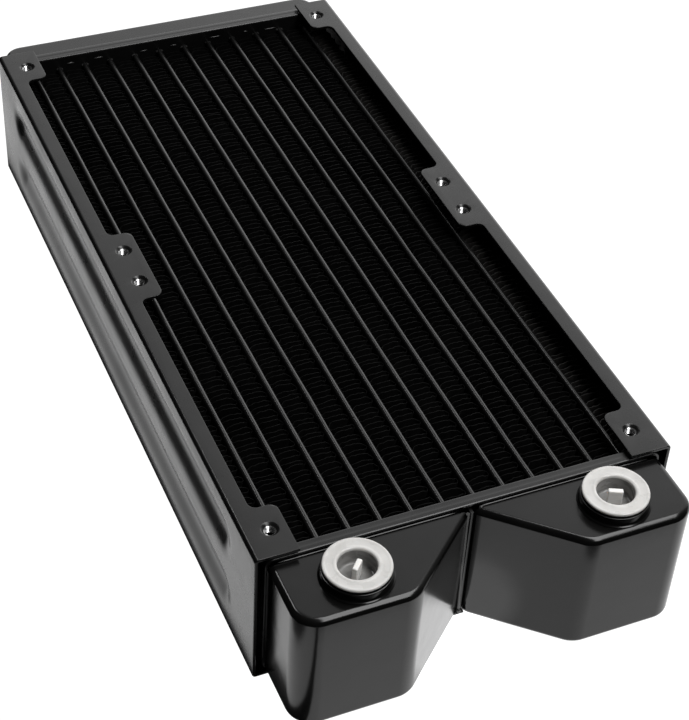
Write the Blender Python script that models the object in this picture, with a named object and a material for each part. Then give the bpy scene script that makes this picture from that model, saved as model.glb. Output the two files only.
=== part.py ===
# Liquid cooling radiator for two 120 mm fans, built as separate sheet-metal, tube, fin and port pieces.
# Axes: +X to the right seen from the port end, +Y away from the ports, +Z up.
# Written in millimetres, made in metres.
import math

import bmesh
import bpy

MM = 0.001

# Overall layout. Y is measured from the first pair of fan holes, then moved to centre the box on the origin.
HEIGHT = 46.0              # outer faces of the side panels' top and bottom flanges
HALF_WIDTH = 60.0          # outer face of a side wall
Y_SHIFT = -106.3           # brings the middle of the whole length to Y = 0
GAP = 0.3                  # air left between pieces that are soldered or pressed together
CUT_PAST = 0.3             # how far a cutter runs past the surface it opens

# Fan hole pattern: 105 mm squares, 15 mm apart
HOLE_X = 52.5
HOLE_YS = (0.0, 105.0, 120.0, 225.0)
HOLE_R = 1.5
HOLE_RIM_R = 2.4           # mouth of the pressed dimple round each hole
HOLE_DIMPLE_DEPTH = 0.6
HOLE_SEGMENTS = 14
COLLAR_R = 2.4
COLLAR_DEPTH = 2.6

# Side panels
PANEL_Y = (-9.0, 234.0)
SHEET = 1.0
BEND_R = 1.2
TAB_X = 47.8               # inner edge of the tabs that carry the holes
FLANGE_X = 54.8            # inner edge of the flange between tabs
TAB_CORNER_R = 2.5
FLANGE_CORNER_R = 2.2
RECESS_YS = ((8.2, 96.9), (128.1, 216.8))
GROOVE_ZS = (13.0, 33.0)
GROOVE_TIPS_Y = (6.0, 219.0)
GROOVE_LOOPS = ((0.0, 9.0), (0.22, 7.4), (0.75, 5.4), (1.30, 3.6), (1.45, 2.6))   # depth, half width
GROOVE_END_STEPS = 6
GROOVE_BACK_OUTSET = 0.35  # the back of a pressed groove is this much wider than its front

# Core of flat tubes and folded fins
TUBE_COUNT = 12
TUBE_PITCH = 8.94
TUBE_THICKNESS = 1.8
TUBE_WALL = 0.35
TUBE_Z = (5.7, 40.3)
TUBE_END_STEPS = 4
FIN_Z = (6.3, 39.7)
FIN_SHEET = 0.35
FIN_FOLDS = 42             # legs of the coarse fold

# Header plates: shallow pans whose webs take the tube ends
WEB_Y = (-4.9, 229.9)      # face of each web that looks at the core
HEADER_SHEET = 1.0
HEADER_DEPTH = 3.7
HEADER_HALF_WIDTH = 57.2
HEADER_Z = (1.7, 44.3)
HEADER_BEND_R = 0.8
TUBE_STAND_OUT = 1.3       # tube end beyond the web

# Tanks
TANK_Z = (2.6, 42.9)
TANK_SHEET = 1.2
TANK_HALF_WIDTH = 56.6
TANK_REAR_Y = -8.9
TANK_FRONT_Y = -30.8
TANK_EDGE_R = 1.8
TANK_OUTER_R = 7.0
TANK_INNER_R = 8.0
NOTCH_FOOT = (0.9, -9.9)   # where the slanted wall of the notch starts
NOTCH_CORNER_X = 24.4      # where that wall would meet the front
LIP_X = 0.75
RIM_HEIGHT = 0.45
RIM_WIDTH = 0.6
RIM_INSET = 2.0            # the ridge stops this far short of a tank's side
RIM_INNER_X = 3.6          # and this far from the middle on the port tanks
TANK_HOLLOW_R = 0.8
RETURN_Y = (233.9, 243.4)
RETURN_CORNER_R = 6.0
DIVIDER_HALF = 0.45
DIVIDER_Y = (-10.4, -6.2)
DIVIDER_Z = (3.3, 42.7)

# Ports, G1/4
PORT_X = 36.8
PORT_Y = -19.5
PORT_SEGMENTS = 28
BOSS_R = 9.4
BOSS_BASE_R = 9.8
BOSS_TOP_Z = 45.85
BOSS_NECK_R = 7.7
BOSS_NECK_Z = 40.7
BOSS_BORE_R = 6.6
TANK_HOLE_R = 8.0

# Screw-in transport plugs
PLUG_FLANGE_R = 9.0
PLUG_TOP_Z = 47.15
PLUG_FLANGE_H = 1.0
PLUG_SHANK_R = 6.25
PLUG_BOTTOM_Z = 39.4
PLUG_CHAMFER = 0.6
PLUG_EDGE = 0.3
CUP_R = 5.1
CUP_FLOOR_Z = 42.0
CUP_CHAMFER = 0.35
GRIP_SIZE = (4.0, 1.5, 46.9)  # length, thickness and top height of the grip in the cup
GRIP_ROOT = 0.8               # how far the grip is sunk into the floor of the cup
GRIP_ANGLES = (47.0, -25.0)   # how far the left and the right plug happen to be turned, in degrees

# Material: colour, roughness, metallic
POWDER_BLACK = ((0.035, 0.035, 0.037, 1.0), 0.45, 0.0)
GLOSS_BLACK = ((0.02, 0.02, 0.022, 1.0), 0.25, 0.0)
FIN_BLACK = ((0.012, 0.012, 0.013, 1.0), 0.6, 0.3)
TUBE_GREY = ((0.16, 0.16, 0.17, 1.0), 0.5, 0.4)
PLUG_WHITE = ((0.82, 0.82, 0.80, 1.0), 0.35, 0.0)


def clear_scene():
    for item in list(bpy.data.objects):
        bpy.data.objects.remove(item, do_unlink=True)


def material(name, look):
    colour, roughness, metallic = look
    made = bpy.data.materials.new(name)
    made.use_nodes = True
    shader = made.node_tree.nodes["Principled BSDF"]
    shader.inputs["Base Color"].default_value = colour
    shader.inputs["Roughness"].default_value = roughness
    shader.inputs["Metallic"].default_value = metallic
    made.diffuse_color = colour
    return made


def to_object(name, bm, centre=(0.0, 0.0, 0.0)):
    """Move a millimetre bmesh into place and store it in metres, with its origin at centre."""
    for vert in bm.verts:
        x, y, z = vert.co
        vert.co = ((x - centre[0]) * MM, (y - centre[1]) * MM, (z - centre[2]) * MM)
    bmesh.ops.recalc_face_normals(bm, faces=bm.faces)
    mesh = bpy.data.meshes.new(name)
    bm.to_mesh(mesh)
    bm.free()
    made = bpy.data.objects.new(name, mesh)
    made.location = (centre[0] * MM, (centre[1] + Y_SHIFT) * MM, centre[2] * MM)
    bpy.context.scene.collection.objects.link(made)
    return made


def loft(loops):
    """Closed body through loops of equal length, capped at both ends."""
    bm = bmesh.new()
    rings = [[bm.verts.new(point) for point in loop] for loop in loops]
    count = len(rings[0])
    for low, high in zip(rings, rings[1:]):
        for i in range(count):
            j = (i + 1) % count
            bm.faces.new((low[i], low[j], high[j], high[i]))
    bm.faces.new(rings[0])
    bm.faces.new(rings[-1])
    return bm


def prism_z(outline, z_low, z_high):
    return loft([[(x, y, z) for x, y in outline] for z in (z_low, z_high)])


def prism_y(outline, y_low, y_high):
    return loft([[(x, y, z) for x, z in outline] for y in (y_low, y_high)])


def box(low, high):
    outline = ((low[0], low[1]), (high[0], low[1]), (high[0], high[1]), (low[0], high[1]))
    return prism_z(outline, low[2], high[2])


def lathe(profile, centre, segments):
    """Body of revolution about a vertical axis; profile runs along the axis from one end to the other."""
    loops = []
    for radius, z in profile:
        loop = []
        for i in range(segments):
            angle = 2.0 * math.pi * (i + 0.5) / segments
            loop.append((centre[0] + radius * math.cos(angle), centre[1] + radius * math.sin(angle), z))
        loops.append(loop)
    return loft(loops)


def arc(cx, cy, radius, start, end, steps):
    """Points of an arc in degrees, both ends included."""
    points = []
    for i in range(steps + 1):
        angle = math.radians(start + (end - start) * i / steps)
        points.append((cx + radius * math.cos(angle), cy + radius * math.sin(angle)))
    return points


def combine(target, other, operation):
    """Exact Boolean of two objects; the second one is used up."""
    other.hide_render = True
    other.display_type = "WIRE"
    modifier = target.modifiers.new(operation, "BOOLEAN")
    modifier.operation = operation
    modifier.solver = "EXACT"
    modifier.object = other
    graph = bpy.context.evaluated_depsgraph_get()
    mesh = bpy.data.meshes.new_from_object(target.evaluated_get(graph))
    mesh.name = target.name
    target.modifiers.clear()
    target.data = mesh
    bpy.data.objects.remove(other, do_unlink=True)


def cut(target, bm):
    combine(target, to_object("cutter", bm), "DIFFERENCE")


def add(target, bm):
    combine(target, to_object("addition", bm), "UNION")


def finish(made, look):
    """Merge loose doubles left by Booleans and give the piece its own material."""
    bm = bmesh.new()
    bm.from_mesh(made.data)
    bmesh.ops.remove_doubles(bm, verts=bm.verts, dist=0.000002)
    bmesh.ops.dissolve_degenerate(bm, edges=bm.edges, dist=0.000002)
    bmesh.ops.recalc_face_normals(bm, faces=bm.faces)
    bm.to_mesh(made.data)
    bm.free()
    made.data.materials.clear()
    made.data.materials.append(material(made.name + "_finish", look))
    return made


def channel_outline(side):
    """Cross-section of a side panel: wall, two bends and two flanges as wide as the tabs."""
    inner_r = BEND_R - SHEET
    wall = HALF_WIDTH
    points = [(TAB_X, 0.0)]
    points += arc(wall - BEND_R, BEND_R, BEND_R, 270, 360, 4)
    points += arc(wall - BEND_R, HEIGHT - BEND_R, BEND_R, 0, 90, 4)
    points += [(TAB_X, HEIGHT), (TAB_X, HEIGHT - SHEET)]
    points += arc(wall - BEND_R, HEIGHT - BEND_R, inner_r, 90, 0, 1)
    points += arc(wall - BEND_R, BEND_R, inner_r, 360, 270, 1)
    points += [(TAB_X, SHEET)]
    return [(side * x, z) for x, z in points]


def recess_outline(side, y_low, y_high):
    """Plan of the cut between two tabs, with rounded tab corners and rounded inner corners."""
    big = TAB_CORNER_R
    small = FLANGE_CORNER_R
    open_x = TAB_X - 3.0
    points = [(open_x, y_low - big - 0.001)]
    points += arc(TAB_X + big, y_low - big, big, 180, 90, 4)
    points += arc(FLANGE_X - small, y_low + small, small, 270, 360, 4)
    points += arc(FLANGE_X - small, y_high - small, small, 0, 90, 4)
    points += arc(TAB_X + big, y_high + big, big, 270, 180, 4)
    points += [(open_x, y_high + big + 0.001)]
    return [(side * x, y) for x, y in points]


def stadium(y_low, y_high, z_mid, half, x):
    """Loop of a long shape with round ends standing in a plane of constant X."""
    points = arc(y_high - half, z_mid, half, -90, 90, GROOVE_END_STEPS)
    points += arc(y_low + half, z_mid, half, 90, 270, GROOVE_END_STEPS)
    return [(x, y, z) for y, z in points]


def groove_loft(side, z_mid, outset, shift):
    """Body of one pressed groove; outset widens it and shift moves it inwards for the back of the sheet."""
    widest = GROOVE_LOOPS[0][1]
    y_low = GROOVE_TIPS_Y[0] + widest
    y_high = GROOVE_TIPS_Y[1] - widest
    outer = HALF_WIDTH + 1.0 - shift * 1.3
    loops = [stadium(y_low - widest - outset, y_high + widest + outset, z_mid, widest + outset, side * outer)]
    for depth, half in GROOVE_LOOPS:
        reach = half + outset
        x = side * (HALF_WIDTH - depth - shift)
        loops.append(stadium(y_low - reach, y_high + reach, z_mid, reach, x))
    return loft(loops)


def build_side_panel(name, side):
    panel = to_object(name, prism_y(channel_outline(side), *PANEL_Y))
    for z_mid in GROOVE_ZS:
        add(panel, groove_loft(side, z_mid, GROOVE_BACK_OUTSET, SHEET))
    for z_mid in GROOVE_ZS:
        cut(panel, groove_loft(side, z_mid, 0.0, 0.0))
    for y_low, y_high in RECESS_YS:
        cut(panel, prism_z(recess_outline(side, y_low, y_high), -2.0, HEIGHT + 2.0))
    for y in HOLE_YS:
        centre = (side * HOLE_X, y)
        inset = SHEET * 0.5
        add(panel, lathe(((COLLAR_R, inset), (COLLAR_R, COLLAR_DEPTH)), centre, HOLE_SEGMENTS))
        top = HEIGHT
        add(panel, lathe(((COLLAR_R, top - COLLAR_DEPTH), (COLLAR_R, top - inset)), centre, HOLE_SEGMENTS))
        mouth = HOLE_RIM_R + CUT_PAST
        deep = HOLE_DIMPLE_DEPTH
        profile = (
            (mouth, -CUT_PAST),
            (HOLE_R, deep),
            (HOLE_R, top - deep),
            (mouth, top + CUT_PAST),
        )
        cut(panel, lathe(profile, centre, HOLE_SEGMENTS))
    return finish(panel, POWDER_BLACK)


def tube_x(index):
    return (index - 0.5 * (TUBE_COUNT - 1)) * TUBE_PITCH


def flat_tube_outline(x_mid, half_thickness, z_low, z_high):
    """Section of a flat tube standing on edge, with half-round top and bottom."""
    points = arc(x_mid, z_low + half_thickness, half_thickness, 180, 360, TUBE_END_STEPS)
    points += arc(x_mid, z_high - half_thickness, half_thickness, 0, 180, TUBE_END_STEPS)
    return points


def build_tube(index):
    half = 0.5 * TUBE_THICKNESS
    x = tube_x(index)
    y_low = WEB_Y[0] - HEADER_SHEET - TUBE_STAND_OUT
    y_high = WEB_Y[1] + HEADER_SHEET + TUBE_STAND_OUT
    outer = flat_tube_outline(x, half, *TUBE_Z)
    inner = flat_tube_outline(x, half - TUBE_WALL, TUBE_Z[0] + TUBE_WALL, TUBE_Z[1] - TUBE_WALL)
    bm = bmesh.new()
    rings = []
    for outline in (outer, inner):
        for y in (y_low, y_high):
            rings.append([bm.verts.new((px, y, pz)) for px, pz in outline])
    count = len(outer)
    outer_low, outer_high, inner_low, inner_high = rings
    pairs = (
        (outer_low, outer_high),
        (inner_high, inner_low),
        (outer_high, inner_high),
        (inner_low, outer_low),
    )
    for first, second in pairs:
        for i in range(count):
            j = (i + 1) % count
            bm.faces.new((first[i], first[j], second[j], second[i]))
    return finish(to_object("tube_%02d" % (index + 1), bm), TUBE_GREY)


def build_fin_strip(index):
    """Coarse folded strip standing between two tubes, or between a tube and a side wall."""
    x_mid = (index - 0.5 * TUBE_COUNT) * TUBE_PITCH
    half = 0.5 * (TUBE_PITCH - TUBE_THICKNESS) - GAP
    y_low = WEB_Y[0] + GAP
    step = (WEB_Y[1] - WEB_Y[0] - 2.0 * GAP) / FIN_FOLDS
    swing = half - FIN_SHEET
    left = []
    right = []
    for i in range(FIN_FOLDS + 1):
        x = x_mid + (swing if i % 2 else -swing)
        y = y_low + step * i
        left.append((x - FIN_SHEET, y))
        right.append((x + FIN_SHEET, y))
    outline = left + right[::-1]
    bm = bmesh.new()
    bottoms = [bm.verts.new((x, y, FIN_Z[0])) for x, y in outline]
    tops = [bm.verts.new((x, y, FIN_Z[1])) for x, y in outline]
    count = len(outline)
    for i in range(count):
        j = (i + 1) % count
        bm.faces.new((bottoms[i], bottoms[j], tops[j], tops[i]))
    for i in range(FIN_FOLDS):
        j = count - 1 - i
        bm.faces.new((bottoms[i], bottoms[i + 1], bottoms[j - 1], bottoms[j]))
        bm.faces.new((tops[j], tops[j - 1], tops[i + 1], tops[i]))
    return finish(to_object("fin_strip_%02d" % (index + 1), bm), FIN_BLACK)


def build_header(name, web_face, direction):
    """Pan with a web towards the core, a rim all round towards the tank, and one slot for each tube."""
    low = (-HEADER_HALF_WIDTH, min(web_face, web_face + direction * HEADER_DEPTH), HEADER_Z[0])
    high = (HEADER_HALF_WIDTH, max(web_face, web_face + direction * HEADER_DEPTH), HEADER_Z[1])
    body = box(low, high)
    edges = [edge for edge in body.edges if all(abs(v.co.y - web_face) < 0.001 for v in edge.verts)]
    bmesh.ops.bevel(body, geom=edges, offset=HEADER_BEND_R, segments=3, profile=0.5, affect="EDGES")
    plate = to_object(name, body)
    inner_face = web_face + direction * HEADER_SHEET
    outside = web_face + direction * (HEADER_DEPTH + 1.0)
    inset = HEADER_SHEET
    hollow_low = (low[0] + inset, min(inner_face, outside), low[2] + inset)
    hollow_high = (high[0] - inset, max(inner_face, outside), high[2] - inset)
    cut(plate, box(hollow_low, hollow_high))
    for index in range(TUBE_COUNT):
        half = 0.5 * TUBE_THICKNESS + GAP
        outline = flat_tube_outline(tube_x(index), half, TUBE_Z[0] - GAP, TUBE_Z[1] + GAP)
        span = sorted((web_face - direction, inner_face + direction))
        cut(plate, prism_y(outline, *span))
    return finish(plate, POWDER_BLACK)


def rounded_loops(outline_at, z_low, z_high, radius, steps=3):
    """Loops of a body whose top and bottom edges are rounded; outline_at gives the plan for an inset."""
    loops = []
    for i in range(steps + 1):
        angle = 0.5 * math.pi * (1.0 - i / steps)
        inset = radius * (1.0 - math.cos(angle))
        z = z_low + radius - radius * math.sin(angle)
        loops.append([(x, y, z) for x, y in outline_at(inset)])
    for i in range(steps + 1):
        angle = 0.5 * math.pi * i / steps
        inset = radius * (1.0 - math.cos(angle))
        z = z_high - radius + radius * math.sin(angle)
        loops.append([(x, y, z) for x, y in outline_at(inset)])
    return loops


def add_rims(tank, x_span, y_span):
    """Raise the low ridge that runs along the top and the bottom of a tank next to the header."""
    sink = 0.5
    low, high = TANK_Z
    for z_low, z_high in ((low - RIM_HEIGHT, low + sink), (high - sink, high + RIM_HEIGHT)):
        add(tank, box((x_span[0], y_span[0], z_low), (x_span[1], y_span[1], z_high)))


def hollow_out(tank, outline_at):
    """Take out the inside of a tank, one sheet thickness within its outline."""
    wall = TANK_SHEET
    shape = rounded_loops(
        lambda inset: outline_at(wall + inset), TANK_Z[0] + wall, TANK_Z[1] - wall, TANK_HOLLOW_R, 1
    )
    cut(tank, loft(shape))


def tank_outline(side, inset):
    """Plan of a port tank with its back left long; inset moves every wall inwards."""
    back = TANK_REAR_Y + 4.0
    front = TANK_FRONT_Y + inset
    outer = TANK_HALF_WIDTH - inset
    run = NOTCH_CORNER_X - NOTCH_FOOT[0]
    drop = NOTCH_FOOT[1] - TANK_FRONT_Y
    slant = math.atan2(drop, run)
    slope_x = NOTCH_FOOT[0] + inset / math.sin(slant)
    seam_x = LIP_X + inset
    seam_y = NOTCH_FOOT[1] + (slope_x - seam_x) * drop / run
    corner_x = slope_x + (NOTCH_FOOT[1] - front) * run / drop
    small = max(TANK_INNER_R - inset, 0.3)
    large = max(TANK_OUTER_R - inset, 0.3)
    reach = small * math.tan(0.5 * slant)
    points = [(seam_x, back), (seam_x, seam_y)]
    points += arc(corner_x + reach, front + small, small, 270 - math.degrees(slant), 270, 4)
    points += arc(outer - large, front + large, large, 270, 360, 5)
    points += [(outer, back)]
    return [(side * x, y) for x, y in points]


def build_port_tank(name, side):
    shape = rounded_loops(lambda inset: tank_outline(side, inset), TANK_Z[0], TANK_Z[1], TANK_EDGE_R)
    tank = to_object(name, loft(shape))
    rear = TANK_REAR_Y
    cut(tank, box((-80.0, rear, -5.0), (80.0, rear + 20.0, 60.0)))
    rim = sorted((side * RIM_INNER_X, side * (TANK_HALF_WIDTH - RIM_INSET)))
    add_rims(tank, rim, (rear - RIM_WIDTH, rear))
    hollow_out(tank, lambda inset: tank_outline(side, inset))
    hole = ((TANK_HOLE_R, TANK_Z[1] - 4.0), (TANK_HOLE_R, TANK_Z[1] + 2.0))
    cut(tank, lathe(hole, (side * PORT_X, PORT_Y), PORT_SEGMENTS))
    return finish(tank, GLOSS_BLACK)


def return_outline(inset):
    """Plan of the return tank with its open side left long."""
    half = TANK_HALF_WIDTH - inset
    far = RETURN_Y[1] - inset
    near = RETURN_Y[0] - 4.0
    radius = max(RETURN_CORNER_R - inset, 0.3)
    points = [(-half, near), (half, near)]
    points += arc(half - radius, far - radius, radius, 0, 90, 5)
    points += arc(radius - half, far - radius, radius, 90, 180, 5)
    return points


def build_return_tank():
    tank = to_object("return_tank", loft(rounded_loops(return_outline, TANK_Z[0], TANK_Z[1], TANK_EDGE_R)))
    near = RETURN_Y[0]
    cut(tank, box((-80.0, near - 20.0, -5.0), (80.0, near, 60.0)))
    rim_x = TANK_HALF_WIDTH - RIM_INSET
    add_rims(tank, (-rim_x, rim_x), (near, near + RIM_WIDTH))
    hollow_out(tank, return_outline)
    return finish(tank, GLOSS_BLACK)


def build_divider():
    """Plate that keeps the two port tanks apart; its rounded front edge shows at the foot of the notch."""
    half = DIVIDER_HALF
    front, back = DIVIDER_Y
    outline = arc(0.0, front + half, half, 180, 360, 4) + [(half, back), (-half, back)]
    return finish(to_object("tank_divider", prism_z(outline, *DIVIDER_Z)), POWDER_BLACK)


def build_boss(name, side):
    centre = (side * PORT_X, PORT_Y)
    seat = TANK_Z[1] + GAP
    profile = (
        (BOSS_NECK_R, BOSS_NECK_Z),
        (BOSS_NECK_R, seat),
        (BOSS_BASE_R, seat),
        (BOSS_R, seat + 0.5),
        (BOSS_R, BOSS_TOP_Z - 0.3),
        (BOSS_R - 0.3, BOSS_TOP_Z),
    )
    boss = to_object(name, lathe(profile, centre, PORT_SEGMENTS))
    bore = ((BOSS_BORE_R, BOSS_NECK_Z - 2.0), (BOSS_BORE_R, BOSS_TOP_Z + 2.0))
    cut(boss, lathe(bore, centre, PORT_SEGMENTS))
    return finish(boss, GLOSS_BLACK)


def build_plug(name, side, grip_angle):
    """Screw plug: wide flange, round shank, a cup sunk in the top and an upright grip standing in it."""
    centre = (side * PORT_X, PORT_Y)
    under = PLUG_TOP_Z - PLUG_FLANGE_H
    profile = (
        (PLUG_SHANK_R - PLUG_CHAMFER, PLUG_BOTTOM_Z),
        (PLUG_SHANK_R, PLUG_BOTTOM_Z + PLUG_CHAMFER),
        (PLUG_SHANK_R, under),
        (PLUG_FLANGE_R - PLUG_EDGE, under),
        (PLUG_FLANGE_R, under + PLUG_EDGE),
        (PLUG_FLANGE_R, PLUG_TOP_Z - PLUG_EDGE),
        (PLUG_FLANGE_R - PLUG_EDGE, PLUG_TOP_Z),
    )
    plug = to_object(name, lathe(profile, centre, PORT_SEGMENTS), (centre[0], centre[1], 0.0))
    slope = CUP_CHAMFER + CUT_PAST
    cup = (
        (CUP_R, CUP_FLOOR_Z),
        (CUP_R, PLUG_TOP_Z - CUP_CHAMFER),
        (CUP_R + slope, PLUG_TOP_Z + CUT_PAST),
    )
    cut(plug, lathe(cup, centre, PORT_SEGMENTS))
    length, thickness, top = GRIP_SIZE
    corners = ((-0.5, -0.5), (0.5, -0.5), (0.5, 0.5), (-0.5, 0.5))
    turn = math.radians(grip_angle)
    outline = []
    for u, v in corners:
        x = u * length * math.cos(turn) - v * thickness * math.sin(turn)
        y = u * length * math.sin(turn) + v * thickness * math.cos(turn)
        outline.append((centre[0] + x, centre[1] + y))
    add(plug, prism_z(outline, CUP_FLOOR_Z - GRIP_ROOT, top))
    return finish(plug, PLUG_WHITE)


def main():
    clear_scene()
    build_side_panel("left_side_panel", -1.0)
    build_side_panel("right_side_panel", 1.0)
    build_header("near_header_plate", WEB_Y[0], -1.0)
    build_header("far_header_plate", WEB_Y[1], 1.0)
    for index in range(TUBE_COUNT):
        build_tube(index)
    for index in range(TUBE_COUNT + 1):
        build_fin_strip(index)
    build_port_tank("left_tank", -1.0)
    build_port_tank("right_tank", 1.0)
    build_return_tank()
    build_divider()
    build_boss("left_port_boss", -1.0)
    build_boss("right_port_boss", 1.0)
    build_plug("left_port_plug", -1.0, GRIP_ANGLES[0])
    build_plug("right_port_plug", 1.0, GRIP_ANGLES[1])


main()
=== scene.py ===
import math
import random

import bmesh
import bpy
from mathutils import Matrix, Vector, noise

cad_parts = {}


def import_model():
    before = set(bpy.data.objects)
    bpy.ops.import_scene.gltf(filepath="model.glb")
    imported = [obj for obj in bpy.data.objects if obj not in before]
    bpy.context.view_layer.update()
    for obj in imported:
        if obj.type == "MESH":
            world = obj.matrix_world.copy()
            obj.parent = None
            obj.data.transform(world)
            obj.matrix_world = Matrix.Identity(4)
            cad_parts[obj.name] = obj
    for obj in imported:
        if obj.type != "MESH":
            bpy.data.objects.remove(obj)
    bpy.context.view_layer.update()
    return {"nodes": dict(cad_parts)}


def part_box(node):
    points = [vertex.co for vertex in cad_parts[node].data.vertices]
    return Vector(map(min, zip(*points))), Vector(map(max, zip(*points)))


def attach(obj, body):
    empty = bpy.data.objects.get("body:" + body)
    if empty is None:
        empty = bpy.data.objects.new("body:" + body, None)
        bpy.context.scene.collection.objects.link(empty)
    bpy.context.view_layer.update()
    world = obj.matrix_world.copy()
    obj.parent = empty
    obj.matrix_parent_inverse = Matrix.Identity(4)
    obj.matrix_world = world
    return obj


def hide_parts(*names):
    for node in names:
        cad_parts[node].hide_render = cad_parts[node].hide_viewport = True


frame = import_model()

# Shapes are written in millimetres in the row frame and turned into metres when a piece is made.
MM = 0.001
BODY = "radiator"


def extent(node):
    """Lowest and highest corner of a CAD node, in millimetres."""
    low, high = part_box(node)
    return low / MM, high / MM


def grey(value, warm=0.0):
    """Opaque grey; warm shifts it from blue towards red."""
    return (value * (1.0 + warm), value, value * (1.0 - warm), 1.0)


PANEL_LOW, PANEL_HIGH = extent("right_side_panel")
TANK_LOW, TANK_HIGH = extent("right_tank")
RETURN_LOW, RETURN_HIGH = extent("return_tank")
NEAR_LOW, NEAR_HIGH = extent("near_header_plate")
FAR_LOW, FAR_HIGH = extent("far_header_plate")
BOSS_LOW, BOSS_HIGH = extent("right_port_boss")
PLUG_LOW, PLUG_HIGH = extent("right_port_plug")

# Side panels
TOP = PANEL_HIGH.z
WALL_X = PANEL_HIGH.x
TAB_X = PANEL_LOW.x
SHEET = 1.0                # thickness of the side panels' sheet
BEND_R = 1.2
BEND_STEPS = 6
CUT_EDGE_R = 0.22
FLANGE_X = 54.8
TAB_CORNER_R = 2.5
FLANGE_CORNER_R = 2.2
CORNER_STEPS = 7
FIRST_HOLE_Y = PANEL_LOW.y + 9.0
HOLE_X = 52.5
HOLE_SQUARE = 105.0
HOLE_GAP = 15.0
TAB_REACH = 8.15           # from a hole's centre to the edge of its tab
GROOVE_ZS = (13.0, 33.0)
GROOVE_R = 9.0             # half width of a groove at the wall
GROOVE_SLOPE = 0.36        # of the straight flanks
GROOVE_FLOOR_R = 3.0       # where the rounded floor ends
GROOVE_SHOULDER_R = 4.4    # where the long rounded shoulder starts
GROOVE_SHOULDER_POWER = 2.5
GROOVE_TIPS = (PANEL_LOW.y + 15.0, PANEL_HIGH.y - 15.0)
WALL_STEPS = 76
COARSE_STEP = 5.0          # between slices of the wall along the grooves
PLAIN_STEP = 3.0           # beyond the grooves
FINE_STEP = 0.45           # round the ends of the grooves

# Tapped holes: (radius, depth) down to the thread, and of the collar below it
HOLE_RINGS = ((2.6, 0.0), (2.42, 0.07), (2.15, 0.28), (1.86, 0.5), (1.66, 0.72))
THREAD_LEAD = 0.12         # plain stretch above the first turn
THREAD_PITCH = 0.5
THREAD_TURNS = 4
THREAD_RADII = (1.5, 1.24)
COLLAR_RINGS = ((1.62, 2.75), (2.2, 2.75), (2.4, 2.6), (2.4, 1.3), (2.62, SHEET))
HOLE_SEGMENTS = 36

# Header plates: (distance from the web's face, how far outside the nominal outline)
HEADER_PROFILE = (
    (0.0, -0.85), (0.06, -0.52), (0.2, -0.22), (0.38, -0.07), (0.6, -0.05), (1.0, -0.07),
    (1.6, -0.07), (1.95, -0.06), (2.2, -0.02), (2.45, 0.0), (2.7, -0.02), (3.3, -0.03),
    (3.6, -0.07), (3.69, -0.16), (3.7, -0.3), (3.7, -0.8), (3.62, -0.95), (3.4, -1.0),
    (1.3, -1.0), (1.08, -1.08), (1.0, -1.3),
)
HEADER_CORNER_R = 2.6

# Tubes: sizes of the slow sway, the quick one, the lift and the swell along their length
TUBE_COUNT = 12
TUBE_SWAY = 0.1
TUBE_SHAKE = 0.035
TUBE_LIFT = 0.08
TUBE_SINK = 0.05           # the rounded edges lie this far inside the CAD tube, on average
TUBE_SWELL = 0.1
TUBE_SWELL_MAX = 1.04
TUBE_STEP = 2.4
TUBE_RING_STEPS = 8

# Folded fin strips, one more than the tubes
FIN_COUNT = TUBE_COUNT + 1
FIN_LEG_PITCH = 2.05
FIN_FOIL = 0.17
FIN_REACH = 0.2            # the folds reach this far past the coarse CAD strip, almost to the tubes
FIN_SHIFT = 0.2            # how far a leg may stand from its even place
FIN_SLANT = (-0.25, 0.4)
FIN_BOW = 0.2
FIN_SAG = 0.4
FIN_KINK = 0.17
FIN_LEG_SHARES = (0.0, 0.15, 0.3, 0.45, 0.6, 0.75, 0.88, 1.0)
FIN_TURN_ANGLES = (-54, -18, 18, 54)
FIN_LEG_DIP = 0.2          # how far a leg's ends dip below its middle
FIN_TURN_DIP = 0.8
FIN_SOFT_EDGE = 2.2        # only this much of the foil's height leans and dips
FIN_LEAN = 0.14
FIN_RIPPLE = 0.16

# Tanks
TANK_RIM = 0.45            # the CAD ridge above the tank's top
TANK_TOP = TANK_HIGH.z - TANK_RIM
TANK_BOTTOM = TANK_LOW.z + 0.05
TANK_EDGE_R = 1.8
TANK_WALL = 1.2
TANK_OUTER_R = 7.0
TANK_INNER_R = 8.0
FOOT_R = {-1.0: 0.6, 1.0: 5.0}  # how round the foot of the left and the right slanted wall is
TANK_REAR = TANK_HIGH.y
RETURN_REAR = RETURN_LOW.y
REAR_EDGE_R = 0.45
NOTCH_FOOT = (TANK_LOW.x + 0.15, TANK_HIGH.y - 1.0)  # where the slanted wall of the notch starts
NOTCH_CORNER_X = 24.4      # where that wall would meet the front
RETURN_CORNER_R = 6.0
RIM_R = 0.33
RIM_TAPER = 0.5            # length over which a rim thins out at its ends
RIM_SEGMENTS = 12
LEFT_RIM_X = (2.6 - TANK_HIGH.x, -4.5)
RIGHT_RIM_X = (2.6, TANK_HIGH.x - 3.6)

# Seam between the port tanks: a hand-run bead, a ledge and a drip at its foot, and a dab on the rim
BEAD_Z = (TANK_BOTTOM + 1.2, TANK_TOP + 0.1)
BEAD_R = 0.52
BEAD_STEP = 0.9
BEAD_SEGMENTS = 14
LEDGE_LOW = (-1.9, NOTCH_FOOT[1] - 0.9, TANK_BOTTOM + 1.0)
LEDGE_HIGH = (1.2, NOTCH_FOOT[1] + 0.4, TANK_BOTTOM + 1.7)
LEDGE_EDGE_R = 0.25
DRIP_AT = (-0.3, NOTCH_FOOT[1] - 0.3, TANK_BOTTOM + 2.2)
DRIP_SIZE = (0.9, 0.75, 1.0)
DAB_AT = (2.9, TANK_REAR - 0.45, TANK_TOP - 0.05)
DAB_SIZE = (0.75, 0.4, 0.45)

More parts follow.
